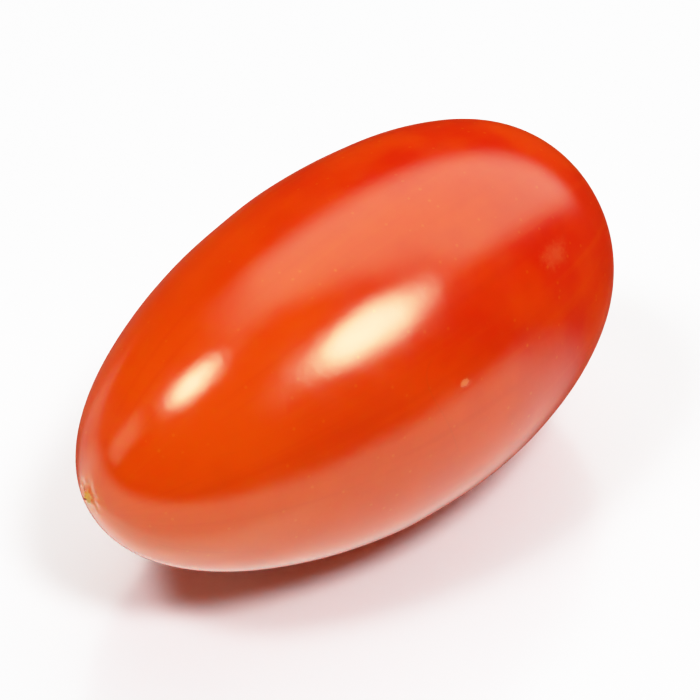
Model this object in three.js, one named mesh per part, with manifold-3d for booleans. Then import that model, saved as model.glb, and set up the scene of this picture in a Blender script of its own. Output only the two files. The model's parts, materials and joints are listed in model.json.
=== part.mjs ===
// A ripe cherry tomato of the long baby plum kind, as picked, lying on its side.
// Millimetres, +Z up. The fruit stands on z = 0, and +X runs along it towards its stem end.
// Its skin is one formula: rings along the fruit's own axis, from the stem end (turn 0) to the
// blossom end (turn pi), with low relief for the stem scar, the blossom scar and the faint lobes.

import * as THREE from "three";
import { ParametricGeometry } from "three/addons/geometries/ParametricGeometry.js";
import { mergeVertices } from "three/addons/utils/BufferGeometryUtils.js";
import Module from "manifold-3d";

// Body
const FRUIT_LENGTH = 42.9;
const FRUIT_GIRTH = 24.0; // diameter at the middle of the length
const SHOULDER = [0.089, 0.005, 0.044, 0.085]; // share of girth gained, by powers 1 to 4 of cos(turn)
const SIDE_BOW = 0.65; // how far the middle bows out to the -Y side
const LOBE_COUNT = 3;
const LOBE_RELIEF = 0.07;
const LOBE_TWIST = 1.3; // radians that the lobes wind from the middle to an end

// Stem end
const DIMPLE_DEPTH = 0.45;
const DIMPLE_SPREAD = 3.0;
const SEPAL_COUNT = 5;
const SEPAL_CREASE = 0.09; // depth of the creases left by the sepals
const SEPAL_REACH = 2.4; // how far from the axis they are deepest
const SEPAL_SKEW = 0.4;
const SCAR_RADIUS = 0.95; // crest of the corky ring
const SCAR_WIDTH = 0.32;
const SCAR_HEIGHT = 0.22;
const PIT_RADIUS = 0.5; // hole left by the stalk
const PIT_SLOPE = 0.17;
const PIT_DEPTH = 0.75;

// Blossom end
const TIP_OFFSET = { y: 1.3, z: 0.4 }; // where the scar sits, off the fruit's own axis
const TIP_RISE = 0.18;
const TIP_SPREAD = 1.6;
const TIP_DOT_HEIGHT = 0.12;
const TIP_DOT_RADIUS = 0.36;
const TIP_MOAT_DEPTH = 0.08;
const TIP_MOAT_RADIUS = 0.8;
const TIP_MOAT_WIDTH = 0.3;

// Resting place
const FOOT_SAG = 0.2; // how far the belly is pressed flat where it rests

// Mesh
const RINGS = 72;
const COLUMNS = 56;
const END_CROWDING = 0.8; // 0 spaces the rings evenly, towards 1 crowds them at both ends
const MERGE_WITHIN = 1e-3;
const BELLY_STEPS = 2000;

const HALF_LENGTH = FRUIT_LENGTH / 2;
const HALF_GIRTH = FRUIT_GIRTH / 2;
const QUARTER_TURN = Math.PI / 2;
const HALF_TURN = Math.PI;
const FULL_TURN = 2 * Math.PI;

// A smooth bump of height 1 at its centre.
function bump(distance, spread) {
  return Math.exp(-((distance / spread) ** 2));
}

// A smooth ring of height 1 at its radius and 0 at the axis.
function ripple(distance, radius) {
  const share = (distance / radius) ** 2;
  return share * Math.exp(1 - share);
}

// 1 well inside the edge and 0 well outside it.
function inside(distance, edge, slope) {
  return 1 / (1 + Math.exp((4 * (distance - edge)) / slope));
}

// Height of the skin over the plain shoulder, at a distance from the axis.
function stemRelief(distance, around) {
  const sepal = 0.5 + 0.5 * Math.cos(SEPAL_COUNT * around + SEPAL_SKEW * Math.sin(around));
  return (
    SCAR_HEIGHT * bump(distance - SCAR_RADIUS, SCAR_WIDTH) -
    DIMPLE_DEPTH * bump(distance, DIMPLE_SPREAD) -
    SEPAL_CREASE * sepal ** 2 * ripple(distance, SEPAL_REACH) -
    PIT_DEPTH * inside(distance, PIT_RADIUS, PIT_SLOPE)
  );
}

// Height of the skin over the plain tip, at a distance from the blossom scar.
function tipRelief(distance) {
  return (
    TIP_RISE * bump(distance, TIP_SPREAD) +
    TIP_DOT_HEIGHT * bump(distance, TIP_DOT_RADIUS) -
    TIP_MOAT_DEPTH * bump(distance - TIP_MOAT_RADIUS, TIP_MOAT_WIDTH)
  );
}

// Radius of the plain body of revolution at a turn from the stem end.
function plainRadius(turn) {
  const c = Math.cos(turn);
  const gain = SHOULDER.reduce((sum, share, i) => sum + share * c ** (i + 1), 1);
  return HALF_GIRTH * Math.sin(turn) * gain;
}

// A point of the skin, in the fruit's own frame, whose origin is the middle of its axis.
function skinPoint(turn, around, target) {
  const c = Math.cos(turn);
  const plain = plainRadius(turn);
  const lobes = Math.sin(turn) ** 2 * Math.cos(LOBE_COUNT * around + LOBE_TWIST * c);
  const radius = plain + LOBE_RELIEF * lobes;
  const y = radius * Math.cos(around);
  const z = radius * Math.sin(around);
  const relief =
    c > 0
      ? stemRelief(plain, around)
      : -tipRelief(Math.hypot(y - TIP_OFFSET.y, z - TIP_OFFSET.z));
  target.set(HALF_LENGTH * c + relief, y - SIDE_BOW * (1 - c ** 2), z);
}

// Closed surface of a geometry, with position as its only attribute.
function closedSurface(geometry) {
  geometry.deleteAttribute("normal");
  geometry.deleteAttribute("uv");
  return mergeVertices(geometry, MERGE_WITHIN);
}

function skinGeometry() {
  const surface = new ParametricGeometry(
    (along, around, target) => {
      const turn = HALF_TURN * along - (END_CROWDING * Math.sin(FULL_TURN * along)) / 2;
      skinPoint(turn, FULL_TURN * around, target);
    },
    RINGS,
    COLUMNS,
  );
  return closedSurface(surface);
}

// Centre of the volume that a closed surface holds.
function centreOfVolume(geometry) {
  const position = geometry.getAttribute("position");
  const corner = [0, 1, 2].map(() => new THREE.Vector3());
  const centre = new THREE.Vector3();
  let volume = 0;
  for (let i = 0; i < geometry.index.count; i += 3) {
    corner.forEach((p, k) => p.fromBufferAttribute(position, geometry.index.getX(i + k)));
    const wedge = corner[0].dot(corner[1].clone().cross(corner[2])) / 6;
    const sum = corner[0].clone().add(corner[1]).add(corner[2]);
    centre.addScaledVector(sum, wedge / 4);
    volume += wedge;
  }
  return centre.divideScalar(volume);
}

// Vector from the centre of weight to the point of the belly that is nearest to it.
// A smooth body comes to rest with that point straight below its centre of weight.
function restingSpoke(centre) {
  const point = new THREE.Vector3();
  const spoke = new THREE.Vector3(0, 0, -Infinity);
  for (let i = 1; i < BELLY_STEPS; i++) {
    skinPoint((HALF_TURN * i) / BELLY_STEPS, -QUARTER_TURN, point);
    point.sub(centre).setY(0);
    if (point.length() < spoke.length()) spoke.copy(point);
  }
  return spoke;
}

const wasm = await Module();
wasm.setup();

function solidOf(geometry) {
  return new wasm.Manifold(
    new wasm.Mesh({
      numProp: 3,
      vertProperties: geometry.getAttribute("position").array,
      triVerts: new Uint32Array(geometry.index.array),
    }),
  );
}

function geometryOf(solid) {
  const { vertProperties, triVerts } = solid.getMesh();
  const geometry = new THREE.BufferGeometry();
  geometry.setAttribute("position", new THREE.BufferAttribute(vertProperties, 3));
  geometry.setIndex(new THREE.BufferAttribute(triVerts, 1));
  return geometry;
}

// The block of table that the belly is pressed flat against, with its top at z = 0.
function tableBlock() {
  const side = 2 * FRUIT_LENGTH;
  const block = new THREE.BoxGeometry(side, side, FRUIT_GIRTH);
  block.translate(0, 0, -HALF_GIRTH);
  return closedSurface(block);
}

// The fruit turned to its resting place, with its small flat foot on z = 0.
function restingFruit() {
  const skin = skinGeometry();
  const centre = centreOfVolume(skin);
  const spoke = restingSpoke(centre);
  skin.translate(-centre.x, -centre.y, -centre.z);
  skin.rotateY(Math.atan2(spoke.x, -spoke.z));
  skin.translate(0, 0, spoke.length() - FOOT_SAG);
  return geometryOf(solidOf(skin).subtract(solidOf(tableBlock())));
}

const fruit = restingFruit();
fruit.computeVertexNormals();
fruit.computeBoundingBox();
const middle = fruit.boundingBox.getCenter(new THREE.Vector3());

const tomato = new THREE.Mesh(
  fruit,
  new THREE.MeshStandardMaterial({ color: 0xdc3e08, roughness: 0.25, metalness: 0 }),
);
tomato.name = "tomato";
tomato.position.set(-middle.x, -middle.y, 0);

const part = new THREE.Group();
part.add(tomato);

export default part;
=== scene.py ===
"""A ripe cherry tomato of the long baby plum kind, as picked, lying on its side on a pale table.

The fruit is one fine skin that stands for the plain solid: the same formula and the same resting
place, with the cracks, creases, flecks and dents that a picked fruit has. Its own sizes are in
millimetres, and it is made in metres, in the part's frame: +X runs along the fruit towards its
stem end, and the fruit rests on z = 0.
"""

import json
import logging
import math
from dataclasses import dataclass, field
from enum import Enum

import bpy
import numpy as np
from mathutils import Matrix, Vector

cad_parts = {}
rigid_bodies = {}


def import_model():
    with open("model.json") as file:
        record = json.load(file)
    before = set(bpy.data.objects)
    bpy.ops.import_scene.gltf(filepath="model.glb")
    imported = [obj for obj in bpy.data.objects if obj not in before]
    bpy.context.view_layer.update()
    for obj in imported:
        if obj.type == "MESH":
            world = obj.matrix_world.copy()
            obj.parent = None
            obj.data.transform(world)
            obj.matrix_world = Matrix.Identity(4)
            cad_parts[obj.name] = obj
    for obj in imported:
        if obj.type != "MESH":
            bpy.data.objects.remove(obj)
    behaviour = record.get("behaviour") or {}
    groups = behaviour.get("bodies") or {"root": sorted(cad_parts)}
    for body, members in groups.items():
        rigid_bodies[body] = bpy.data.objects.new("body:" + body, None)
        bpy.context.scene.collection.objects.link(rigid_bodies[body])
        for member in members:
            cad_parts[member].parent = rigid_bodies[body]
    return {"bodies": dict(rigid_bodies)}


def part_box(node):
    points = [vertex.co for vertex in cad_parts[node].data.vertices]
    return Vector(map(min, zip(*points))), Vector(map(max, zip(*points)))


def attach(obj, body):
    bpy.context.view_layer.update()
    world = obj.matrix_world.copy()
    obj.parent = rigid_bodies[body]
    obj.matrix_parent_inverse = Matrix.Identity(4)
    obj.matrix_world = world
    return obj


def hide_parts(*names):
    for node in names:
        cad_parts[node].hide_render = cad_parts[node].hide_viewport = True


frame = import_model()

MILLIMETRE = 0.001
FULL_TURN = 2 * math.pi
HALF_TURN = math.pi
QUARTER_TURN = math.pi / 2
UP = Vector((0.0, 0.0, 1.0))
SKIN_NODE = "tomato"
BODY = next(iter(frame["bodies"]))
OCTAVE_STEP = 1.9  # how many times more waves each part of an uneven edge has than the one before
OCTAVE_FADE = 1.5  # how many times lower it is
RAGGED_PEAK = 1.8  # height that an uneven edge is divided by
EXPONENT_LIMIT = 60  # keeps exp within its range far from an edge
NOISE_MIDDLE = 0.5
DOT_CORE = 0.4  # share of a dot's radius within which it is solid
FULL_DOTS = 0.7  # share of the dots that have their full strength
LAMP_MIDDLE = (0.5, 0.5, 0.0)  # in a lamp's own coordinates, which go from 0 to 1
LAMP_EDGE = 0.5  # distance of its edge from that middle
MIX_SHARE = 0  # places of the sockets that Blender's Mix node has for colours
MIX_UNDER = 6
MIX_OVER = 7
MIX_RESULT = 2
COMBINED_CURVE = 3  # the film's curve that acts on red, green and blue together

log = logging.getLogger("tomato")

Array = np.ndarray
Socket = bpy.types.NodeSocket
Span = tuple[float, float]


class Paint(Enum):
    """The colours of the fruit and its studio, as everyday red, green and blue out of 255."""

    RIPE_RED = (198, 28, 2)
    ORANGE_RED = (211, 51, 2)
    WARM_ORANGE = (224, 78, 3)
    DEEP_RED = (178, 20, 2)
    SHOULDER_ORANGE = (212, 98, 16)
    SEPAL_YELLOW = (222, 150, 46)
    GOLD_FLECK = (230, 140, 36)
    CORK = (182, 122, 64)
    DARK_CORK = (104, 58, 24)
    PIT_BROWN = (50, 16, 6)
    OLIVE_DOT = (196, 152, 66)
    STYLE_BROWN = (70, 36, 14)
    HEALED = (226, 116, 58)
    SHEEN = (255, 248, 193)
    TABLE = (245, 250, 255)
    LAMP = (255, 252, 250)
    GLINT = (255, 244, 255)
    CLOTH = (255, 253, 246)
    PINK_GLOW = (214, 120, 96)
    RED_GLOW = (184, 66, 22)
    BACKDROP = (255, 255, 255)

    @property
    def linear(self) -> tuple[float, float, float, float]:
        """The colour in linear light, by the usual formula for screen colours.

        Returns:
            Red, green, blue and full alpha.
        """
        shares = [c / 255 for c in self.value]
        light = [c / 12.92 if c <= 0.04045 else ((c + 0.055) / 1.055) ** 2.4 for c in shares]
        return (*light, 1.0)


class Mark(str, Enum):
    """The measures that the skin's mesh carries for its finish."""

    FROM_STEM = "from_stem"
    FROM_DOT = "from_dot"
    SEPAL = "sepal"
    ALONG = "along"
    FROM_SCAB = "from_scab"
    SCAB = "scab"
    MERIDIAN = "meridian"


def bump(distance: Array, spread: float) -> Array:
    """A smooth bump of height 1 at its centre."""
    return np.exp(-((distance / spread) ** 2))


def ripple(distance: Array, radius: float) -> Array:
    """A smooth ring of height 1 at its radius and 0 at the axis."""
    share = (distance / radius) ** 2
    return share * np.exp(1 - share)


def inside(distance: Array, edge: float, slope: float) -> Array:
    """1 well inside the edge and 0 well outside it."""
    return 1 / (1 + np.exp(np.clip(4 * (distance - edge) / slope, -EXPONENT_LIMIT, EXPONENT_LIMIT)))


def ragged(around: Array, waves: int, seed: int, octaves: int = 4) -> Array:
    """An uneven edge, from about -1 to 1, that closes on itself after a full turn.

    Args:
        around: angle at each point, in radians.
        waves: number of waves of the slowest part.
        seed: start of the random draw.
        octaves: number of parts, each with nearly twice the waves of the one before.

    Returns:
        The height of the edge at each angle.
    """
    draw = np.random.default_rng(seed)
    total = np.zeros_like(around)
    for octave in range(octaves):
        beat = round(waves * OCTAVE_STEP**octave)
        total += np.sin(beat * around + draw.uniform(0, FULL_TURN)) / OCTAVE_FADE**octave
    return total / RAGGED_PEAK


@dataclass(frozen=True)
class StemEnd:
    """The scar of the stalk, in the shallow dimple of the fruit's broad end."""

    dimple_depth: float = 0.45
    dimple_spread: float = 3.0
    sepal_count: int = 5
    crease_depth: float = 0.09
    crease_reach: float = 2.4
    sepal_skew: float = 0.4
    ring_radius: float = 0.95
    ring_width: float = 0.32
    ring_height: float = 0.22
    ring_unevenness: float = 0.3
    ring_wander: float = 0.06
    pit_radius: float = 0.5
    pit_slope: float = 0.17
    pit_depth: float = 0.75
    pit_oval: float = 0.12
    pit_heading: float = 1.1
    crack_count: int = 9
    crack_depth: float = 0.16
    crack_width: float = 0.07
    crack_jitter: float = 0.3
    crack_least: float = 0.4
    stump_y: float = 0.06
    stump_z: float = -0.04
    stump_height: float = 0.3
    stump_radius: float = 0.17
    wrinkle_count: int = 29
    wrinkle_depth: float = 0.014
    wrinkle_sway: float = 1.7
    wrinkle_reach: float = 1.9
    wrinkle_spread: float = 0.3
    seed: int = 5

    def sepals(self, around: Array) -> Array:
        """1 along the middle of each mark that a sepal left, and 0 between them."""
        return 0.5 + 0.5 * np.cos(self.sepal_count * around + self.sepal_skew * np.sin(around))

    def cracks(self, around: Array) -> Array:
        """The cracks that cross the corky ring.

        Args:
            around: angle at each point, in radians.

        Returns:
            Up to 1 in a crack, and 0 between them.
        """
        draw = np.random.default_rng(self.seed)
        jitter = draw.uniform(-self.crack_jitter, self.crack_jitter, self.crack_count)
        places = np.arange(self.crack_count) + jitter
        total = np.zeros_like(around)
        for place in places * FULL_TURN / self.crack_count:
            off = np.angle(np.exp(1j * (around - place)))
            total += draw.uniform(self.crack_least, 1.0) * bump(off, self.crack_width)
        return total

    def relief(self, y: Array, z: Array) -> Array:
        """Height of the skin over the plain shoulder, in millimetres.

        Args:
            y: place across the fruit's axis.
            z: place across the fruit's axis, a quarter turn from y.

        Returns:
            The height at each point.
        """
        distance = np.hypot(y, z)
        around = np.arctan2(z, y)
        uneven = 1 + self.ring_unevenness * ragged(around, waves=3, seed=self.seed + 1)
        wander = 1 + self.ring_wander * ragged(around, waves=2, seed=self.seed + 2)
        crest = distance - self.ring_radius * wander
        ring = self.ring_height * uneven - self.crack_depth * self.cracks(around)
        pit = distance * (1 + self.pit_oval * np.cos(2 * around + self.pit_heading))
        stump = np.hypot(y - self.stump_y, z - self.stump_z)
        wrinkles = np.sin(self.wrinkle_count * around + self.wrinkle_sway * np.sin(3 * around))
        uneven_reach = ragged(around, waves=5, seed=self.seed + 3, octaves=3)
        reach = self.wrinkle_reach * (1 + self.wrinkle_spread * uneven_reach)
        return (
            ring * bump(crest, self.ring_width)
            - self.dimple_depth * bump(distance, self.dimple_spread)
            - self.crease_depth * self.sepals(around) ** 2 * ripple(distance, self.crease_reach)
            - self.pit_depth * inside(pit, self.pit_radius, self.pit_slope)
            + self.stump_height * bump(stump, self.stump_radius)
            + self.wrinkle_depth * wrinkles * ripple(distance, reach) ** 2
        )


@dataclass(frozen=True)
class BlossomEnd:
    """The small scar that the flower left, off the axis of the fruit's narrow end."""

    offset_y: float = 1.3
    offset_z: float = 0.4
    rise: float = 0.18
    spread: float = 1.6
    dot_height: float = 0.12
    dot_radius: float = 0.36
    dot_wander: float = 0.18
    moat_depth: float = 0.08
    moat_radius: float = 0.8
    moat_width: float = 0.3
    style_y: float = 0.05
    style_z: float = -0.03
    style_height: float = 0.2
    style_radius: float = 0.12
    pucker_count: int = 7
    pucker_depth: float = 0.014
    pucker_sway: float = 1.2
    pucker_reach: float = 0.95
    pucker_spread: float = 0.7
    seed: int = 17

    def distance(self, y: Array, z: Array) -> Array:
        """Distance from the middle of the scar, across the fruit's axis."""
        return np.hypot(y - self.offset_y, z - self.offset_z)

    def relief(self, y: Array, z: Array) -> Array:
        """Height of the skin over the plain tip, in millimetres.

        Args:
            y: place across the fruit's axis.
            z: place across the fruit's axis, a quarter turn from y.

        Returns:
            The height at each point.
        """
        distance = self.distance(y, z)
        around = np.arctan2(z - self.offset_z, y - self.offset_y)
        edge = distance / (1 + self.dot_wander * ragged(around, waves=2, seed=self.seed))
        style = np.hypot(y - self.offset_y - self.style_y, z - self.offset_z - self.style_z)
        puckers = np.sin(self.pucker_count * around + self.pucker_sway * np.sin(2 * around))
        uneven = ragged(around, waves=2, seed=self.seed + 1, octaves=2)
        puckers *= 1 + self.pucker_spread * uneven
        return (
            self.rise * bump(distance, self.spread)
            + self.dot_height * bump(edge, self.dot_radius)
            - self.moat_depth * bump(edge - self.moat_radius, self.moat_width)
            + self.style_height * bump(style, self.style_radius)
            + self.pucker_depth * puckers * ripple(distance, self.pucker_reach) ** 2
        )


@dataclass(frozen=True)
class Blemish:
    """A small healed mark on the skin.

    Its place is given in the fruit's own angles, in degrees, and its radius and height in
    millimetres. It holds a share of cork, and can be longer than it is wide.
    """

    turn: float
    around: float
    radius: float
    height: float
    scab: float
    stretch: float = 1.0


@dataclass
class Fruit:
    """The whole tomato: one closed skin, from the stem end (turn 0) to the blossom end (turn pi)."""

    length: float = 42.9
    girth: float = 24.0
    shoulder: tuple[float, ...] = (0.089, 0.005, 0.044, 0.085)
    side_bow: float = 0.65
    lobe_count: int = 3
    lobe_relief: float = 0.07
    lobe_twist: float = 1.3
    foot_sag: float = 0.2
    swell_height: float = 0.022
    swell_length: float = 7.0
    swell_count: int = 14
    swell_range: Span = (0.6, 1.7)
    rings: int = 352
    columns: int = 236
    end_crowding: float = 0.62
    belly_steps: int = 2000
    fine_lines: int = 12
    fine_reach: float = 3.0
    stem: StemEnd = field(default_factory=StemEnd)
    blossom: BlossomEnd = field(default_factory=BlossomEnd)
    fleck: Blemish = Blemish(turn=89.6, around=157.1, radius=0.2, height=0.012, scab=0.9, stretch=2.0)
    faint_marks: int = 14
    faint_cosine: Span = (-0.93, 0.93)
    faint_around: Span = (-100.0, 55.0)
    faint_radius: Span = (0.35, 0.7)
    faint_height: Span = (0.01, 0.025)
    faint_scab: float = 0.2
    sunken_share: float = 0.75
    smooth_share: float = 0.7
    mark_wander: float = 0.2
    mark_rim: float = 0.35
    mark_rim_radius: float = 1.7
    mark_rim_width: float = 0.5
    mark_reach: float = 5.0
    seed: int = 41

    def blemishes(self) -> list[Blemish]:
        """The healed marks: the fleck and four more at chosen places, and faint ones at random.

        Returns:
            The marks, the fleck first.
        """
        draw = np.random.default_rng(self.seed)
        found = [
            self.fleck,
            Blemish(turn=58.4, around=140.6, radius=0.7, height=-0.012, scab=0.22, stretch=1.7),
            Blemish(turn=33.0, around=-118.0, radius=0.4, height=-0.04, scab=0.3),
            Blemish(turn=141.0, around=-8.0, radius=0.3, height=-0.04, scab=0.35, stretch=1.6),
            Blemish(turn=104.0, around=12.0, radius=0.3, height=0.03, scab=0.4, stretch=1.9),
        ]
        sunken_or_raised = [self.sunken_share, 1 - self.sunken_share]
        smooth_or_corky = [self.smooth_share, 1 - self.smooth_share]
        for _ in range(self.faint_marks):
            turn = math.degrees(math.acos(draw.uniform(*self.faint_cosine)))
            around = draw.uniform(*self.faint_around)
            radius = draw.uniform(*self.faint_radius)
            height = draw.choice([-1, 1], p=sunken_or_raised) * draw.uniform(*self.faint_height)
            scab = self.faint_scab * draw.choice([0, 1], p=smooth_or_corky)
            found.append(Blemish(turn, around, radius, height, scab))
        return found

    def plain_radius(self, turn: Array) -> Array:
        """Radius of the plain body of revolution at a turn from the stem end.

        Args:
            turn: angle from the stem end at each point, in radians.

        Returns:
            The radius at each point, in millimetres.
        """
        cosine = np.cos(turn)
        gain = 1 + sum(share * cosine ** (i + 1) for i, share in enumerate(self.shoulder))
        return self.girth / 2 * np.sin(turn) * gain

    def skin_points(self, turn: Array, around: Array) -> Array:
        """Points of the skin in the fruit's own frame, whose origin is the middle of its axis.

        Args:
            turn: angle from the stem end at each point, in radians.
            around: angle round the axis at each point, in radians.

        Returns:
            One row of x, y and z in millimetres for each point.
        """
        cosine = np.cos(turn)
        plain = self.plain_radius(turn)
        lobes = np.sin(turn) ** 2 * np.cos(self.lobe_count * around + self.lobe_twist * cosine)
        radius = plain + self.lobe_relief * lobes
        y = radius * np.cos(around)
        z = radius * np.sin(around)
        at_stem = self.stem.relief(plain * np.cos(around), plain * np.sin(around))
        relief = np.where(cosine > 0, at_stem, -self.blossom.relief(y, z))
        bow = self.side_bow * np.sin(turn) ** 2
        return np.stack([self.length / 2 * cosine + relief, y - bow, z], -1)

    def grid_lines(self) -> tuple[Array, Array]:
        """Turns of the rings and angles of the columns, closer at the ends and at the fleck.

        Returns:
            The turns between the two poles, and the angles of one whole round.
        """
        share = np.arange(1, self.rings) / self.rings
        turns = HALF_TURN * share - self.end_crowding * np.sin(FULL_TURN * share) / 2
        arounds = np.arange(self.columns) * FULL_TURN / self.columns
        reach = self.fine_reach * self.fleck.radius * self.fleck.stretch
        extra = np.linspace(-reach, reach, self.fine_lines)
        fleck_turn = math.radians(self.fleck.turn)
        fleck_around = math.radians(self.fleck.around)
        turns = np.union1d(turns, fleck_turn + extra / (self.length / 2))
        arounds = np.union1d(arounds, fleck_around + extra / (self.girth / 2))
        return turns, arounds

    def faces(self, rings: int, columns: int) -> list[tuple[int, ...]]:
        """The skin's faces: a fan at each pole, and squares between the rings.

        Args:
            rings: number of rings between the poles.
            columns: number of points in a ring.

        Returns:
            The corners of each face, counted from the stem pole, ring by ring, to the blossom pole.
        """
        last = 1 + rings * columns
        across = [(j, (j + 1) % columns) for j in range(columns)]
        faces = [(0, 1 + j, 1 + k) for j, k in across]
        for i in range(rings - 1):
            near = 1 + i * columns
            far = near + columns
            faces += [(near + j, far + j, far + k, near + k) for j, k in across]
        near = 1 + (rings - 1) * columns
        return faces + [(near + j, last, near + k) for j, k in across]

    @staticmethod
    def centre_of_volume(points: Array, faces: list[tuple[int, ...]]) -> Array:
        """Centre of the volume that a closed skin holds.

        Args:
            points: the skin's points.
            faces: its faces, of three or four corners.

        Returns:
            The centre's x, y and z.
        """
        triangles = [f[:3] for f in faces] + [(f[0], f[2], f[3]) for f in faces if len(f) == 4]
        corners = points[np.array(triangles)]
        wedges = np.einsum("ij,ij->i", corners[:, 0], np.cross(corners[:, 1], corners[:, 2])) / 6
        return (corners.sum(1) * wedges[:, None]).sum(0) / 4 / wedges.sum()

    def resting_spoke(self, centre: Array) -> Array:
        """Vector from the centre of weight to the point of the belly that comes to rest below it.

        Args:
            centre: the centre of weight.

        Returns:
            The shortest such vector in the fruit's upright plane.
        """
        turn = HALF_TURN * np.arange(1, self.belly_steps) / self.belly_steps
        spokes = self.skin_points(turn, np.full_like(turn, -QUARTER_TURN)) - centre
        spokes[:, 1] = 0
        return spokes[np.linalg.norm(spokes, axis=1).argmin()]

    @staticmethod
    def outward(points: Array, rings: int, columns: int) -> Array:
        """Unit vectors out of the skin at its points, from the places of their neighbours.

        Args:
            points: the skin's points, ring by ring between the two poles.
            rings: number of rings.
            columns: number of points in a ring.

        Returns:
            One unit vector for each point, along the axis at the poles.
        """
        grid = points[1:-1].reshape(rings, columns, 3)
        first = np.repeat(points[:1, None], columns, 1)
        last = np.repeat(points[-1:, None], columns, 1)
        longer = np.concatenate([first, grid, last])
        along = longer[2:] - longer[:-2]
        across = np.roll(grid, -1, 1) - np.roll(grid, 1, 1)
        normal = np.cross(along, across).reshape(-1, 3)
        normal /= np.linalg.norm(normal, axis=1)[:, None]
        flip = np.sign((normal * (points[1:-1] - points.mean(0))).sum(1).mean())
        return np.concatenate([[[1.0, 0.0, 0.0]], normal * flip, [[-1.0, 0.0, 0.0]]])

    def swell(self, points: Array) -> Array:
        """The slight unevenness of a grown skin: long low waves that cross each other.

        Args:
            points: the skin's points.

        Returns:
            Height at each point, in millimetres.
        """
        draw = np.random.default_rng(self.seed + 1)
        height = np.zeros(len(points))
        for _ in range(self.swell_count):
            heading = draw.normal(size=3)
            wave = self.swell_length * draw.uniform(*self.swell_range)
            heading *= FULL_TURN / wave / np.linalg.norm(heading)
            height += np.sin(points @ heading + draw.uniform(0, FULL_TURN))
        return self.swell_height * height / math.sqrt(self.swell_count)

    def healed_marks(self, points: Array) -> tuple[Array, Array, Array]:
        """Height of the skin's small healed marks, and how near and how corky the nearest is.

        Args:
            points: the skin's points, in the fruit's own frame.

        Returns:
            At each point, the height in millimetres, the distance to the nearest mark in radii of
            that mark, and the share of cork in it.
        """
        height = np.zeros(len(points))
        nearest = np.full(len(points), self.mark_reach)
        scab = np.zeros(len(points))
        for mark in self.blemishes():
            at = self.skin_points(np.radians([mark.turn]), np.radians([mark.around]))[0]
            away = points - at
            long_way = away[:, 0] / mark.stretch
            distance = np.sqrt(long_way**2 + away[:, 1] ** 2 + away[:, 2] ** 2)
            angle = np.arctan2(away[:, 2], away[:, 0])
            uneven = ragged(angle, waves=2, seed=int(mark.turn), octaves=2)
            distance /= 1 + self.mark_wander * uneven
            from_rim = distance - self.mark_rim_radius * mark.radius
            height += mark.height * bump(distance, mark.radius)
            height -= self.mark_rim * mark.height * bump(from_rim, self.mark_rim_width * mark.radius)
            if mark.scab:
                scab = np.where(distance / mark.radius < nearest, mark.scab, scab)
                nearest = np.minimum(nearest, distance / mark.radius)
        return height, nearest, scab

    def settled(self, points: Array, faces: list[tuple[int, ...]]) -> Array:
        """The skin's points, in millimetres, turned and pressed to the fruit's resting place.

        Args:
            points: the points in the fruit's own frame.
            faces: the skin's faces.

        Returns:
            The points in the part's frame, with the middle of their box where the solid's is.
        """
        centre = self.centre_of_volume(points, faces)
        spoke = self.resting_spoke(centre)
        pitch = Matrix.Rotation(math.atan2(spoke[0], -spoke[2]), 3, "Y")
        placed = (points - centre) @ np.array(pitch).T
        placed[:, 2] += np.linalg.norm(spoke) - self.foot_sag
        placed[:, 2] = np.maximum(placed[:, 2], 0)
        low, high = (np.array(corner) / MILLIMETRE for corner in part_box(SKIN_NODE))
        shift = (low + high - placed.min(0) - placed.max(0)) / 2
        placed[:, :2] += shift[:2]
        return placed

    def build(self) -> bpy.types.Object:
        """Builds the skin with its marks, and puts it in place of the plain solid.

        Returns:
            The new object.
        """
        turns, arounds = self.grid_lines()
        rings = len(turns)
        columns = len(arounds)
        turn = np.concatenate([[0.0], np.repeat(turns, columns), [HALF_TURN]])
        around = np.concatenate([[0.0], np.tile(arounds, rings), [0.0]])
        points = self.skin_points(turn, around)
        faces = self.faces(rings, columns)
        height, nearest, scab = self.healed_marks(points)
        fade = np.sin(turn) ** 2
        lift = self.swell(points) * fade + height
        points = points + self.outward(points, rings, columns) * lift[:, None]
        placed = self.settled(points, faces)
        mesh = bpy.data.meshes.new("tomato_skin")
        mesh.from_pydata((placed * MILLIMETRE).tolist(), [], faces)
        mesh.polygons.foreach_set("use_smooth", [True] * len(faces))
        self.write_marks(mesh, turn, around, nearest, scab)
        mesh.update()
        skin = bpy.data.objects.new("tomato_skin", mesh)
        bpy.context.scene.collection.objects.link(skin)
        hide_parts(SKIN_NODE)
        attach(skin, BODY)
        return skin

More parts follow.
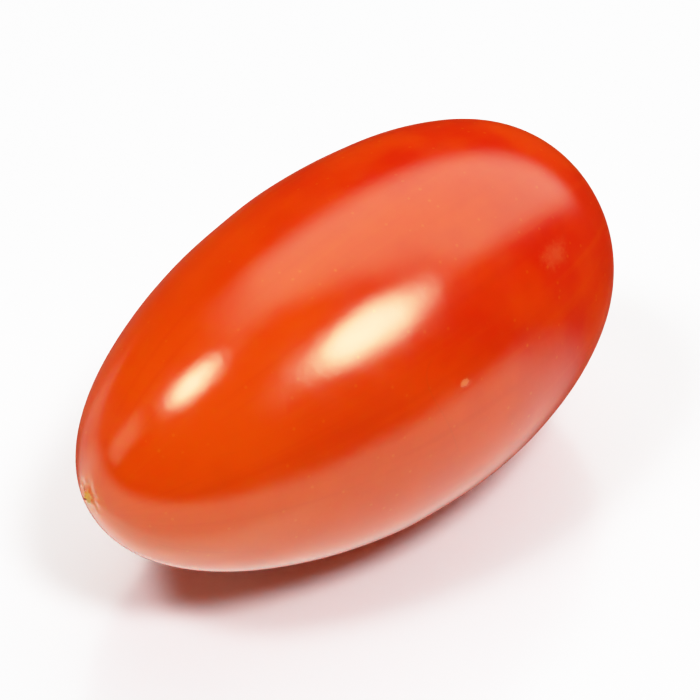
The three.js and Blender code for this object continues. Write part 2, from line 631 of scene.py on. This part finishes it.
    def write_marks(
        self, mesh: bpy.types.Mesh, turn: Array, around: Array, nearest: Array, scab: Array
    ) -> None:
        """Stores at each point of the skin the measures that its finish reads.

        Args:
            mesh: the skin's mesh.
            turn: angle from the stem end at each point.
            around: angle round the axis at each point.
            nearest: distance to the nearest healed mark, in radii of it, at each point.
            scab: share of cork in that mark, at each point.
        """
        radius = self.plain_radius(turn)
        y = radius * np.cos(around)
        z = radius * np.sin(around)
        cosine = np.cos(turn)
        far = self.girth  # stands for every distance on the other half of the fruit
        sepal = self.stem.sepals(around) ** 2 * ripple(radius, self.stem.crease_reach)
        values = {
            Mark.FROM_STEM: np.where(cosine > 0, radius, far),
            Mark.FROM_DOT: np.where(cosine < 0, self.blossom.distance(y, z), far),
            Mark.SEPAL: np.where(cosine > 0, sepal, 0.0),
            Mark.ALONG: cosine,
            Mark.FROM_SCAB: nearest,
            Mark.SCAB: scab,
        }
        for mark, value in values.items():
            attribute = mesh.attributes.new(mark.value, "FLOAT", "POINT")
            attribute.data.foreach_set("value", value.astype(np.float32))
        meridian = mesh.attributes.new(Mark.MERIDIAN.value, "FLOAT_VECTOR", "POINT")
        wrapped = np.stack([cosine, np.cos(around), np.sin(around)], -1)
        meridian.data.foreach_set("vector", wrapped.astype(np.float32).ravel())

    def dress(self, skin: bpy.types.Object, finish: "SkinFinish") -> None:
        """Gives the skin its finish."""
        skin.data.materials.append(finish.material())


class Wiring:
    """Adds nodes to a material or a world, and joins them."""

    def __init__(self, tree: bpy.types.NodeTree) -> None:
        """Starts with an empty tree."""
        self.tree = tree
        self.tree.nodes.clear()

    def node(self, kind: str, **settings: object) -> bpy.types.Node:
        """Adds a node.

        Args:
            kind: the node's kind.
            settings: its settings by name.

        Returns:
            The node.
        """
        made = self.tree.nodes.new(kind)
        for name, value in settings.items():
            setattr(made, name, value)
        return made

    def feed(self, socket: Socket, value: object) -> None:
        """Joins a socket to another, or sets it to a plain value.

        Args:
            socket: the socket that takes the value.
            value: another socket, or a number, colour or vector.
        """
        if isinstance(value, Socket):
            self.tree.links.new(value, socket)
        else:
            socket.default_value = value

    def maths(self, operation: str, first: object, second: object = 0.0) -> Socket:
        """Works out one operation on two numbers.

        Args:
            operation: what is done, such as MULTIPLY.
            first: a number or its socket.
            second: the other number or its socket, where the operation takes two.

        Returns:
            The socket of the result.
        """
        made = self.node("ShaderNodeMath", operation=operation)
        self.feed(made.inputs[0], first)
        self.feed(made.inputs[1], second)
        return made.outputs[0]

    def rise(
        self, value: object, start: float, end: float, low: float = 0.0, high: float = 1.0
    ) -> Socket:
        """Goes smoothly from low to high as a value goes from start to end.

        Args:
            value: the socket or number that is followed.
            start: the value at which the result is still low.
            end: the value from which the result is high, above or below start.
            low: the result before start.
            high: the result after end.

        Returns:
            The socket that holds the result.
        """
        made = self.node("ShaderNodeMapRange", interpolation_type="SMOOTHSTEP")
        backwards = end < start
        self.feed(made.inputs["Value"], value)
        made.inputs["From Min"].default_value = min(start, end)
        made.inputs["From Max"].default_value = max(start, end)
        made.inputs["To Min"].default_value = high if backwards else low
        made.inputs["To Max"].default_value = low if backwards else high
        return made.outputs["Result"]

    def blend(self, share: object, under: object, over: object) -> Socket:
        """Lays one colour over another.

        Args:
            share: how much of the upper colour covers the lower one, from 0 to 1.
            under: the lower colour.
            over: the upper colour.

        Returns:
            The socket of the mixed colour.
        """
        made = self.node("ShaderNodeMix", data_type="RGBA")
        self.feed(made.inputs[MIX_SHARE], share)
        self.feed(made.inputs[MIX_UNDER], under)
        self.feed(made.inputs[MIX_OVER], over)
        return made.outputs[MIX_RESULT]

    def mark(self, mark: Mark, output: str = "Fac") -> Socket:
        """Reads a measure that the mesh carries."""
        return self.node("ShaderNodeAttribute", attribute_name=mark.value).outputs[output]

    def noise(self, place: Socket, scale: float, detail: float = 2.0, twist: float = 0.0) -> Socket:
        """Soft random clouds at a place.

        Args:
            place: coordinates.
            scale: clouds in each unit of length.
            detail: how many finer layers they have.
            twist: how much the clouds are distorted.

        Returns:
            The socket of a number around 0.5.
        """
        made = self.node("ShaderNodeTexNoise")
        self.feed(made.inputs["Vector"], place)
        made.inputs["Scale"].default_value = scale
        made.inputs["Detail"].default_value = detail
        made.inputs["Distortion"].default_value = twist
        return made.outputs["Fac"]

    def dots(self, place: Socket, scale: float, radius: float, share: float) -> Socket:
        """Small round dots, in some of the cells that fill a space.

        Args:
            place: coordinates.
            scale: cells in each unit of length.
            radius: radius of a dot as a share of a cell.
            share: share of the cells that hold a dot.

        Returns:
            The socket of a number from 0 to 1, which is 1 in a dot.
        """
        made = self.node("ShaderNodeTexVoronoi")
        self.feed(made.inputs["Vector"], place)
        made.inputs["Scale"].default_value = scale
        channels = self.node("ShaderNodeSeparateColor")
        self.feed(channels.inputs[0], made.outputs["Color"])
        dot = self.rise(made.outputs["Distance"], radius, DOT_CORE * radius)
        chosen = self.rise(channels.outputs[0], 1 - share, 1 - FULL_DOTS * share)
        return self.maths("MULTIPLY", dot, chosen)

    def stretched(self, place: Socket, factors: tuple[float, float, float]) -> Socket:
        """Multiplies each of a place's three coordinates by a factor of its own.

        Args:
            place: coordinates.
            factors: the three factors.

        Returns:
            The socket of the new coordinates.
        """
        made = self.node("ShaderNodeVectorMath", operation="MULTIPLY")
        self.feed(made.inputs[0], place)
        made.inputs[1].default_value = factors
        return made.outputs[0]


@dataclass(frozen=True)
class SkinFinish:
    """Ripe tomato skin: clear, waxy and tight, over soft red flesh that the light goes into.

    An inner and an outer value are distances from the middle of a scar, in millimetres, and from
    that of a healed mark, in radii of it. A span is the two levels of a pattern or a measure
    between which it takes effect, and a share is the most of its colour that it lays on.
    """

    gloss_roughness: float = 0.15
    polish: float = 0.02
    wax_bloom: float = 0.05
    cork_roughness: float = 0.62
    refraction: float = 1.7
    flesh_weight: float = 0.75
    flesh_depth: float = 2.8 * MILLIMETRE
    flesh_reach: tuple[float, float, float] = (1.0, 0.16, 0.05)
    grain_height: float = 0.006 * MILLIMETRE
    cork_height: float = 0.05 * MILLIMETRE
    grain_per_metre: float = 1900.0
    clouds_per_metre: float = 130.0
    wax_per_metre: float = 420.0
    cork_per_metre: float = 2600.0
    fine_dots_per_metre: float = 1050.0
    coarse_dots_per_metre: float = 330.0
    scratches_per_metre: float = 70.0
    scratched_per_metre: float = 120.0
    cloud_span: Span = (0.35, 0.68)
    wax_span: Span = (0.3, 0.75)
    cork_span: Span = (0.38, 0.62)
    grain_span: Span = (0.3, 0.7)
    tip_colour_and_light_span: Span = (0.5, -1.0)
    tip_colour_and_light_share: float = 0.6
    streaks: tuple[float, float, float] = (1.1, 13.0, 13.0)
    pale_streak_span: Span = (0.52, 0.78)
    dark_streak_span: Span = (0.47, 0.25)
    streak_share: float = 0.12
    fine_dot_share: float = 0.1
    coarse_dot_share: float = 0.22
    scratched_span: Span = (0.6, 0.66)
    scratch_span: Span = (0.0035, 0.001)
    scratch_share: float = 0.08
    scab_grain_span: Span = (0.25, 0.75)
    scab_wander: float = 0.3
    scab_inner: float = 0.2
    scab_outer: float = 1.6
    sepal_share: float = 0.45
    halo_share: float = 0.7
    halo_wander: float = 0.5
    halo_inner: float = 1.1
    halo_outer: float = 3.9
    ring_to_halo_wander: float = 0.3
    pit_inner: float = 0.38
    pit_outer: float = 0.68
    ring_inner: float = 1.12
    ring_outer: float = 1.42
    dot_halo_share: float = 0.75
    dot_halo_inner: float = 0.45
    dot_halo_outer: float = 2.1
    dot_wander: float = 0.12
    dot_inner: float = 0.34
    dot_outer: float = 0.5
    style_inner: float = 0.07
    style_outer: float = 0.16

    def flesh_colour(self, wiring: Wiring, place: Socket) -> Socket:
        """The skin's colour away from its scars, with painted light towards the blossom end.

        Args:
            wiring: the material's nodes.
            place: coordinates on the fruit, in metres.

        Returns:
            The colour's socket.
        """
        clouds = wiring.noise(place, self.clouds_per_metre, detail=3)
        cloudy = wiring.rise(clouds, *self.cloud_span)
        colour = wiring.blend(cloudy, Paint.RIPE_RED.linear, Paint.ORANGE_RED.linear)
        # Towards the blossom end the skin turns a lighter orange: partly its own colour, partly painted
        # light that falls on that end from the front and left.
        tip = wiring.rise(wiring.mark(Mark.ALONG), *self.tip_colour_and_light_span, high=self.tip_colour_and_light_share)
        colour = wiring.blend(tip, colour, Paint.WARM_ORANGE.linear)
        meridian = wiring.stretched(wiring.mark(Mark.MERIDIAN, "Vector"), self.streaks)
        streaks = wiring.noise(meridian, 1.0, detail=2)
        pale_streaks = wiring.rise(streaks, *self.pale_streak_span, high=self.streak_share)
        colour = wiring.blend(pale_streaks, colour, Paint.WARM_ORANGE.linear)
        dark_streaks = wiring.rise(streaks, *self.dark_streak_span, high=self.streak_share)
        colour = wiring.blend(dark_streaks, colour, Paint.DEEP_RED.linear)
        fine = wiring.dots(place, self.fine_dots_per_metre, radius=0.16, share=0.6)
        fine = wiring.maths("MULTIPLY", fine, self.fine_dot_share)
        colour = wiring.blend(fine, colour, Paint.GOLD_FLECK.linear)
        coarse = wiring.dots(place, self.coarse_dots_per_metre, radius=0.06, share=0.3)
        coarse = wiring.maths("MULTIPLY", coarse, self.coarse_dot_share)
        return wiring.blend(coarse, colour, Paint.GOLD_FLECK.linear)

    def healed(self, wiring: Wiring, grain: Socket) -> Socket:
        """Share of dry cork in the small healed marks.

        Args:
            wiring: the material's nodes.
            grain: fine random clouds.

        Returns:
            The socket of the share.
        """
        to_and_fro = {"low": -self.scab_wander, "high": self.scab_wander}
        wander = wiring.rise(grain, *self.scab_grain_span, **to_and_fro)
        distance = wiring.maths("ADD", wiring.mark(Mark.FROM_SCAB), wander)
        near = wiring.rise(distance, self.scab_outer, self.scab_inner)
        return wiring.maths("MULTIPLY", near, wiring.mark(Mark.SCAB))

    def scratches(self, wiring: Wiring, place: Socket) -> Socket:
        """Thin wandering scratches in a few places, 1 in a scratch and 0 beside it.

        Args:
            wiring: the material's nodes.
            place: coordinates on the fruit, in metres.

        Returns:
            The socket of the share.
        """
        lines = wiring.noise(place, self.scratches_per_metre, detail=0, twist=0.6)
        near = wiring.maths("ABSOLUTE", wiring.maths("SUBTRACT", lines, NOISE_MIDDLE))
        thin = wiring.rise(near, *self.scratch_span)
        patches = wiring.noise(place, self.scratched_per_metre, detail=0)
        where = wiring.rise(patches, *self.scratched_span)
        return wiring.maths("MULTIPLY", thin, where)

    def stem_colour(self, wiring: Wiring, colour: Socket, grain: Socket) -> Socket:
        """Adds the paler shoulder, the sepals' marks, the corky ring and the pit.

        Args:
            wiring: the material's nodes.
            colour: the colour so far.
            grain: fine random clouds.

        Returns:
            The new colour's socket.
        """
        wander = wiring.rise(grain, *self.grain_span, low=-self.halo_wander, high=self.halo_wander)
        distance = wiring.mark(Mark.FROM_STEM)
        uneven = wiring.maths("ADD", distance, wander)
        halo = wiring.rise(uneven, self.halo_outer, self.halo_inner, high=self.halo_share)
        colour = wiring.blend(halo, colour, Paint.SHOULDER_ORANGE.linear)
        rays = wiring.maths("MULTIPLY", wiring.mark(Mark.SEPAL), self.sepal_share)
        colour = wiring.blend(rays, colour, Paint.SEPAL_YELLOW.linear)
        edge = wiring.maths("ADD", distance, wiring.maths("MULTIPLY", wander, self.ring_to_halo_wander))
        ring = wiring.rise(edge, self.ring_outer, self.ring_inner)
        mottled = wiring.rise(grain, *self.cork_span)
        cork = wiring.blend(mottled, Paint.DARK_CORK.linear, Paint.CORK.linear)
        colour = wiring.blend(ring, colour, cork)
        pit = wiring.rise(edge, self.pit_outer, self.pit_inner)
        return wiring.blend(pit, colour, Paint.PIT_BROWN.linear)

    def blossom_colour(self, wiring: Wiring, colour: Socket, grain: Socket) -> Socket:
        """Adds the blossom scar: an orange halo, an olive dot and the dry end of the style.

        Args:
            wiring: the material's nodes.
            colour: the colour so far.
            grain: fine random clouds.

        Returns:
            The new colour's socket.
        """
        wander = wiring.rise(grain, *self.grain_span, low=-self.dot_wander, high=self.dot_wander)
        distance = wiring.maths("ADD", wiring.mark(Mark.FROM_DOT), wander)
        halo = wiring.rise(
            distance, self.dot_halo_outer, self.dot_halo_inner, high=self.dot_halo_share
        )
        colour = wiring.blend(halo, colour, Paint.SHOULDER_ORANGE.linear)
        dot = wiring.rise(distance, self.dot_outer, self.dot_inner)
        colour = wiring.blend(dot, colour, Paint.OLIVE_DOT.linear)
        style = wiring.rise(distance, self.style_outer, self.style_inner)
        return wiring.blend(style, colour, Paint.STYLE_BROWN.linear)

    def roughness(self, wiring: Wiring, place: Socket, healed: Socket) -> Socket:
        """Glossy skin with slightly duller patches, and dull cork at the scars.

        Args:
            wiring: the material's nodes.
            place: coordinates on the fruit, in metres.
            healed: share of dry cork in the healed marks.

        Returns:
            The roughness's socket.
        """
        waxy = wiring.noise(place, self.wax_per_metre, detail=3)
        polished = self.gloss_roughness - self.polish
        waxed = self.gloss_roughness + self.wax_bloom
        gloss = wiring.rise(waxy, *self.wax_span, low=polished, high=waxed)
        ring = wiring.rise(wiring.mark(Mark.FROM_STEM), self.ring_outer, self.ring_inner)
        dot = wiring.rise(wiring.mark(Mark.FROM_DOT), self.dot_outer, self.dot_inner)
        cork = wiring.maths("MAXIMUM", wiring.maths("MAXIMUM", ring, dot), healed)
        extra = wiring.maths("MULTIPLY", cork, self.cork_roughness - self.gloss_roughness)
        return wiring.maths("ADD", gloss, extra)

    def relief(self, wiring: Wiring, place: Socket, grain: Socket, healed: Socket) -> Socket:
        """The finest relief: the skin's faint grain, and the rough cork of the scars.

        Args:
            wiring: the material's nodes.
            place: coordinates on the fruit, in metres.
            grain: fine random clouds.
            healed: share of dry cork in the healed marks.

        Returns:
            The normal's socket.
        """
        ring = wiring.rise(wiring.mark(Mark.FROM_STEM), self.ring_outer, self.ring_inner)
        cork = wiring.maths("MAXIMUM", ring, healed)
        skin = wiring.node("ShaderNodeBump")
        skin.inputs["Distance"].default_value = self.grain_height
        wiring.feed(skin.inputs["Height"], wiring.noise(place, self.grain_per_metre, detail=1))
        rough = wiring.node("ShaderNodeBump")
        rough.inputs["Distance"].default_value = self.cork_height
        wiring.feed(rough.inputs["Height"], wiring.maths("MULTIPLY", grain, cork))
        wiring.feed(rough.inputs["Normal"], skin.outputs["Normal"])
        return rough.outputs["Normal"]

    def material(self) -> bpy.types.Material:
        """Makes the skin's material.

        Returns:
            The material.
        """
        made = bpy.data.materials.new("ripe_skin")
        made.use_nodes = True
        wiring = Wiring(made.node_tree)
        place = wiring.node("ShaderNodeTexCoord").outputs["Object"]
        grain = wiring.noise(place, self.cork_per_metre, detail=4)
        colour = self.flesh_colour(wiring, place)
        lines = wiring.maths("MULTIPLY", self.scratches(wiring, place), self.scratch_share)
        colour = wiring.blend(lines, colour, Paint.DARK_CORK.linear)
        colour = self.stem_colour(wiring, colour, grain)
        colour = self.blossom_colour(wiring, colour, grain)
        healed = self.healed(wiring, grain)
        colour = wiring.blend(healed, colour, Paint.HEALED.linear)
        shader = wiring.node("ShaderNodeBsdfPrincipled", subsurface_method="RANDOM_WALK")
        wiring.feed(shader.inputs["Base Color"], colour)
        wiring.feed(shader.inputs["Roughness"], self.roughness(wiring, place, healed))
        wiring.feed(shader.inputs["Normal"], self.relief(wiring, place, grain, healed))
        shader.inputs["IOR"].default_value = self.refraction
        shader.inputs["Specular Tint"].default_value = Paint.SHEEN.linear
        shader.inputs["Subsurface Weight"].default_value = self.flesh_weight
        shader.inputs["Subsurface Radius"].default_value = self.flesh_reach
        shader.inputs["Subsurface Scale"].default_value = self.flesh_depth
        output = wiring.node("ShaderNodeOutputMaterial")
        wiring.feed(output.inputs["Surface"], shader.outputs["BSDF"])
        return made


@dataclass(frozen=True)
class PhotoCamera:
    """The camera at the photograph's viewing angle: which way it looks, and how much it takes in.

    Its lens and sensor are in millimetres, and its distances and places in metres.
    """

    elevation: float = math.radians(42.0)
    side_turn: float = math.radians(43.9)
    distance: float = 0.450
    lens: float = 350.0
    sensor: float = 36.0
    nearest: float = 0.01
    furthest: float = 50.0
    aim_right: float = 0.42 * MILLIMETRE
    aim_up: float = 0.20 * MILLIMETRE

    @property
    def forward(self) -> Vector:
        """The way the camera looks, along the table."""
        return Vector((math.sin(self.side_turn), math.cos(self.side_turn), 0.0))

    @property
    def right(self) -> Vector:
        """The picture's right."""
        return Vector((math.cos(self.side_turn), -math.sin(self.side_turn), 0.0))

    def towards(self, elevation: float, azimuth: float) -> Vector:
        """A direction away from the fruit.

        Args:
            elevation: degrees above the table.
            azimuth: degrees from the camera's side towards the picture's right.

        Returns:
            A unit vector.
        """
        up = math.radians(elevation)
        side = math.radians(azimuth)
        level = self.right * math.sin(side) - self.forward * math.cos(side)
        return level * math.cos(up) + UP * math.sin(up)

    def build(self, centre: Vector) -> bpy.types.Object:
        """Sets up the camera, aimed at the fruit.

        Args:
            centre: the middle of the fruit, in metres.

        Returns:
            The camera object.
        """
        back = self.towards(math.degrees(self.elevation), 0.0)
        up = back.cross(self.right)
        data = bpy.data.cameras.new("photo_camera")
        data.lens = self.lens
        data.sensor_width = self.sensor
        data.clip_start = self.nearest
        data.clip_end = self.furthest
        camera = bpy.data.objects.new("photo_camera", data)
        bpy.context.scene.collection.objects.link(camera)
        aim = centre + self.right * self.aim_right + up * self.aim_up
        camera.location = aim + back * self.distance
        camera.rotation_euler = (-back).to_track_quat("-Z", "Y").to_euler()
        bpy.context.scene.camera = camera
        return camera


class Reach(Enum):
    """What a lamp is for: it lights the flesh and the table, or it only shines in the glossy skin."""

    LIGHTS = "lights"
    SHINES = "shines"

    @property
    def paint(self) -> Paint:
        """The colour of such a lamp's light."""
        return Paint.GLINT if self is Reach.SHINES else Paint.LAMP


@dataclass(frozen=True)
class Softbox:
    """A large lamp, bright in its middle and soft towards its edge.

    Its angles are in degrees, and its distance in metres.

    A lamp that shines is where a highlight has to fall on the skin, and one that lights is where
    the fruit's shadow on the table needs it.
    """

    name: str
    elevation: float
    azimuth: float
    end_elevation: float
    end_azimuth: float
    long_angle: float
    short_angle: float
    radiance: float
    reach: Reach
    distance: float = 4.0
    bright_share: float = 0.2

    def build(self, camera: PhotoCamera, centre: Vector) -> bpy.types.Object:
        """Hangs the lamp in its direction from the fruit, with its long side towards its end.

        Args:
            camera: the camera that the directions are counted from.
            centre: the middle of the fruit.

        Returns:
            The lamp object.
        """
        way = camera.towards(self.elevation, self.azimuth)
        end = camera.towards(self.end_elevation, self.end_azimuth)
        long_side = (end - way * end.dot(way)).normalized()
        data = bpy.data.lights.new(self.name, "AREA")
        data.shape = "RECTANGLE"
        data.size = 2 * self.distance * math.tan(math.radians(self.long_angle) / 2)
        data.size_y = 2 * self.distance * math.tan(math.radians(self.short_angle) / 2)
        data.energy = self.radiance * math.pi * data.size * data.size_y
        data.color = self.reach.paint.linear[:3]
        self.soften(data)
        lamp = bpy.data.objects.new(self.name, data)
        bpy.context.scene.collection.objects.link(lamp)
        lamp.visible_glossy = self.reach is Reach.SHINES
        lamp.visible_diffuse = self.reach is Reach.LIGHTS
        turned = Matrix((long_side, way.cross(long_side), way)).transposed().to_4x4()
        lamp.matrix_world = Matrix.Translation(centre + way * self.distance) @ turned
        return lamp

    def soften(self, data: bpy.types.AreaLight) -> None:
        """Makes the lamp fade in an oval towards its edge, as cloth over a bulb does.

        Args:
            data: the lamp's own settings.
        """
        data.use_nodes = True
        wiring = Wiring(data.node_tree)
        spot = wiring.node("ShaderNodeVectorMath", operation="DISTANCE")
        wiring.feed(spot.inputs[0], wiring.node("ShaderNodeNewGeometry").outputs["Parametric"])
        spot.inputs[1].default_value = LAMP_MIDDLE
        glow = wiring.node("ShaderNodeEmission")
        fade = wiring.rise(spot.outputs["Value"], LAMP_EDGE, LAMP_EDGE * self.bright_share)
        wiring.feed(glow.inputs["Strength"], fade)
        wiring.feed(wiring.node("ShaderNodeOutputLight").inputs["Surface"], glow.outputs[0])


@dataclass(frozen=True)
class Edge:
    """One straight edge of a panel: the plane through the fruit and that edge.

    The plane is given by a vector towards the panel's side of it, in the picture's right, the
    camera's forward and up. The panel fades over the softness on both sides of the plane.
    """

    right: float
    forward: float
    up: float
    softness: float


@dataclass(frozen=True)
class Panel:
    """Something bright beside the fruit, with straight edges, that lights it and shows in its skin."""

    name: str
    paint: Paint
    brightness: float
    edges: tuple[Edge, ...]

    def light(self, wiring: Wiring, way: Socket, camera: PhotoCamera) -> Socket:
        """The panel's light in each direction.

        Args:
            wiring: the world's nodes.
            way: the direction away from the fruit.
            camera: the camera that the edges are counted from.

        Returns:
            The socket of the light.
        """
        strength: object = self.brightness
        for edge in self.edges:
            side = wiring.node("ShaderNodeVectorMath", operation="DOT_PRODUCT")
            wiring.feed(side.inputs[0], way)
            level = camera.right * edge.right + camera.forward * edge.forward
            side.inputs[1].default_value = level + UP * edge.up
            kept = wiring.rise(side.outputs["Value"], -edge.softness, edge.softness)
            strength = wiring.maths("MULTIPLY", kept, strength)
        made = wiring.node("ShaderNodeBackground", label=self.name)
        wiring.feed(made.inputs["Strength"], strength)
        made.inputs["Color"].default_value = self.paint.linear
        return made.outputs[0]


@dataclass(frozen=True)
class Surroundings:
    """What the skin reflects: pale cloths above, behind and before the fruit, and warm glows.

    The two wide cloths give the broad bands, and the two narrow ones the streaks at the blossom
    end. The cloth in front and the glows stand for the pale table and the red light that it returns.
    """

    panels: tuple[Panel, ...] = (
        Panel(
            "upper_band",
            Paint.CLOTH,
            brightness=2.1,
            edges=(
                Edge(0.89, 0.40, 0.22, softness=0.14),
                Edge(-0.58, 0.62, 0.52, softness=0.12),
                Edge(0.05, 0.98, -0.2, softness=0.15),
                Edge(0.44, -0.47, 0.76, softness=0.15),
            ),
        ),
        Panel(
            "lower_band",
            Paint.CLOTH,
            brightness=1.3,
            edges=(
                Edge(0.05, 0.18, -0.98, softness=0.14),
                Edge(-0.15, 0.15, -0.98, softness=0.14),
                Edge(-0.18, -0.80, -0.57, softness=0.13),
            ),
        ),
        Panel(
            "inner_streak",
            Paint.CLOTH,
            brightness=1.2,
            edges=(
                Edge(0.0, -1.0, 0.14, softness=0.08),
                Edge(-0.28, 1.0, 0.02, softness=0.08),
                Edge(0.14, 0.0, 1.0, softness=0.1),
                Edge(-0.72, 0.0, -1.0, softness=0.15),
            ),
        ),
        Panel(
            "outer_streak",
            Paint.CLOTH,
            brightness=0.45,
            edges=(
                Edge(0.39, 1.0, -0.8, softness=0.1),
                Edge(0.0, 0.0, -1.0, softness=0.06),
                Edge(-0.75, -0.66, 0.0, softness=0.12),
            ),
        ),
        Panel(
            "pink_glow",
            Paint.PINK_GLOW,
            brightness=0.75,
            edges=(Edge(0.18, 0.77, 0.61, softness=0.2), Edge(-0.43, -0.50, -0.75, softness=0.15)),
        ),
        Panel(
            "red_glow",
            Paint.RED_GLOW,
            brightness=0.8,
            edges=(Edge(0.43, 0.50, 0.75, softness=0.15), Edge(0.0, 0.2, -1.0, softness=0.15)),
        ),
    )
    backdrop_light: float = 1.5

    def build(self, camera: PhotoCamera) -> bpy.types.World:
        """Makes the world that surrounds the table.

        Args:
            camera: the camera that the directions are counted from.

        Returns:
            The world.
        """
        world = bpy.data.worlds.new("studio")
        world.use_nodes = True
        bpy.context.scene.world = world
        wiring = Wiring(world.node_tree)
        way = wiring.node("ShaderNodeTexCoord").outputs["Generated"]
        lights = [panel.light(wiring, way, camera) for panel in self.panels]
        lit = lights[0]
        for light in lights[1:]:
            both = wiring.node("ShaderNodeAddShader")
            wiring.feed(both.inputs[0], lit)
            wiring.feed(both.inputs[1], light)
            lit = both.outputs[0]
        seen = wiring.node("ShaderNodeBackground")
        seen.inputs["Color"].default_value = Paint.BACKDROP.linear
        seen.inputs["Strength"].default_value = self.backdrop_light
        choice = wiring.node("ShaderNodeMixShader")
        wiring.feed(choice.inputs[0], wiring.node("ShaderNodeLightPath").outputs["Is Camera Ray"])
        wiring.feed(choice.inputs[1], lit)
        wiring.feed(choice.inputs[2], seen.outputs[0])
        output = wiring.node("ShaderNodeOutputWorld")
        wiring.feed(output.inputs["Surface"], choice.outputs[0])
        return world


@dataclass(frozen=True)
class Table:
    """The plain pale table that the fruit lies on.

    The surroundings stand for it in the skin's reflections, so that these stay calm.
    """

    radius: float = 6.0
    sides: int = 96
    roughness: float = 0.18
    refraction: float = 2.0
    brightness: float = 0.98
    clouds_per_metre: float = 40.0
    cloud_depth: float = 0.015

    def build(self) -> bpy.types.Object:
        """Makes the table top, at the height of the fruit's flat foot.

        Returns:
            The table object.
        """
        angles = [FULL_TURN * i / self.sides for i in range(self.sides)]
        corners = [(self.radius * math.cos(a), self.radius * math.sin(a), 0.0) for a in angles]
        mesh = bpy.data.meshes.new("table")
        mesh.from_pydata(corners, [], [tuple(range(self.sides))])
        table = bpy.data.objects.new("table", mesh)
        bpy.context.scene.collection.objects.link(table)
        table.visible_glossy = False
        return table

    def dress(self, table: bpy.types.Object) -> None:
        """Gives the table its smooth pale finish, with the faintest of clouds.

        Args:
            table: the table object.
        """
        made = bpy.data.materials.new("pale_table")
        made.use_nodes = True
        wiring = Wiring(made.node_tree)
        place = wiring.node("ShaderNodeTexCoord").outputs["Object"]
        shader = wiring.node("ShaderNodeBsdfPrincipled")
        cloudy = wiring.noise(place, self.clouds_per_metre, detail=3)
        pale = tuple(c * self.brightness for c in Paint.TABLE.linear[:3]) + (1.0,)
        dull = tuple(c * (1 - self.cloud_depth) for c in pale[:3]) + (1.0,)
        wiring.feed(shader.inputs["Base Color"], wiring.blend(cloudy, pale, dull))
        shader.inputs["Roughness"].default_value = self.roughness
        shader.inputs["IOR"].default_value = self.refraction
        output = wiring.node("ShaderNodeOutputMaterial")
        wiring.feed(output.inputs["Surface"], shader.outputs["BSDF"])
        table.data.materials.append(made)


@dataclass(frozen=True)
class Film:
    """How the picture answers to light: plain, with a soft shoulder so that no red burns out."""

    white: float = 4.0
    shoulder: tuple[tuple[float, float], ...] = (
        (0.45, 0.45),
        (0.7, 0.67),
        (1.0, 0.845),
        (1.25, 0.925),
        (1.5, 0.97),
        (1.9, 0.995),
    )

    def build(self) -> None:
        """Sets the scene's colours to this film."""
        view = bpy.context.scene.view_settings
        view.view_transform = "Standard"
        view.look = "None"
        view.use_curve_mapping = True
        mapping = view.curve_mapping
        mapping.white_level = (self.white, self.white, self.white)
        curve = mapping.curves[COMBINED_CURVE]
        curve.points[0].location = (0.0, 0.0)
        curve.points[-1].location = (1.0, 1.0)
        for light, answer in self.shoulder:
            curve.points.new(light / self.white, answer)
        mapping.update()


@dataclass
class Studio:
    """Everything round the fruit: the table, the surroundings, the lamps, the camera and its film."""

    camera: PhotoCamera = field(default_factory=PhotoCamera)
    film: Film = field(default_factory=Film)
    table: Table = field(default_factory=Table)
    surroundings: Surroundings = field(default_factory=Surroundings)
    softboxes: tuple[Softbox, ...] = (
        Softbox(
            "right_softbox",
            elevation=55.6,
            azimuth=58.8,
            end_elevation=41.8,
            end_azimuth=88.5,
            long_angle=44.0,
            short_angle=39.0,
            radiance=19.5,
            reach=Reach.SHINES,
        ),
        Softbox(
            "left_softbox",
            elevation=60.6,
            azimuth=-80.0,
            end_elevation=71.8,
            end_azimuth=-84.0,
            long_angle=25.0,
            short_angle=30.0,
            radiance=18.5,
            reach=Reach.SHINES,
        ),
        Softbox(
            "right_key",
            elevation=61.0,
            azimuth=42.0,
            end_elevation=61.0,
            end_azimuth=60.0,
            long_angle=24.0,
            short_angle=24.0,
            radiance=48.0,
            reach=Reach.LIGHTS,
        ),
        Softbox(
            "left_key",
            elevation=62.0,
            azimuth=-68.0,
            end_elevation=62.0,
            end_azimuth=-80.0,
            long_angle=24.0,
            short_angle=24.0,
            radiance=33.0,
            reach=Reach.LIGHTS,
        ),
    )

    def build(self, centre: Vector) -> None:
        """Builds the studio round the fruit.

        Args:
            centre: the middle of the fruit, in metres.
        """
        self.table.dress(self.table.build())
        self.surroundings.build(self.camera)
        for softbox in self.softboxes:
            softbox.build(self.camera, centre)
        self.camera.build(centre)
        self.film.build()


def main() -> None:
    """Builds the fruit and its studio."""
    logging.basicConfig(level=logging.INFO, format="%(name)s: %(message)s")
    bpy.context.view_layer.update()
    fruit = Fruit()
    skin = fruit.build()
    fruit.dress(skin, SkinFinish())
    log.info("%s: %d faces in place of %s", skin.name, len(skin.data.polygons), SKIN_NODE)
    low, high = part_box(SKIN_NODE)
    Studio().build((low + high) / 2)
    log.info("studio: table, lamps and the camera")


if __name__ == "__main__":
    main()
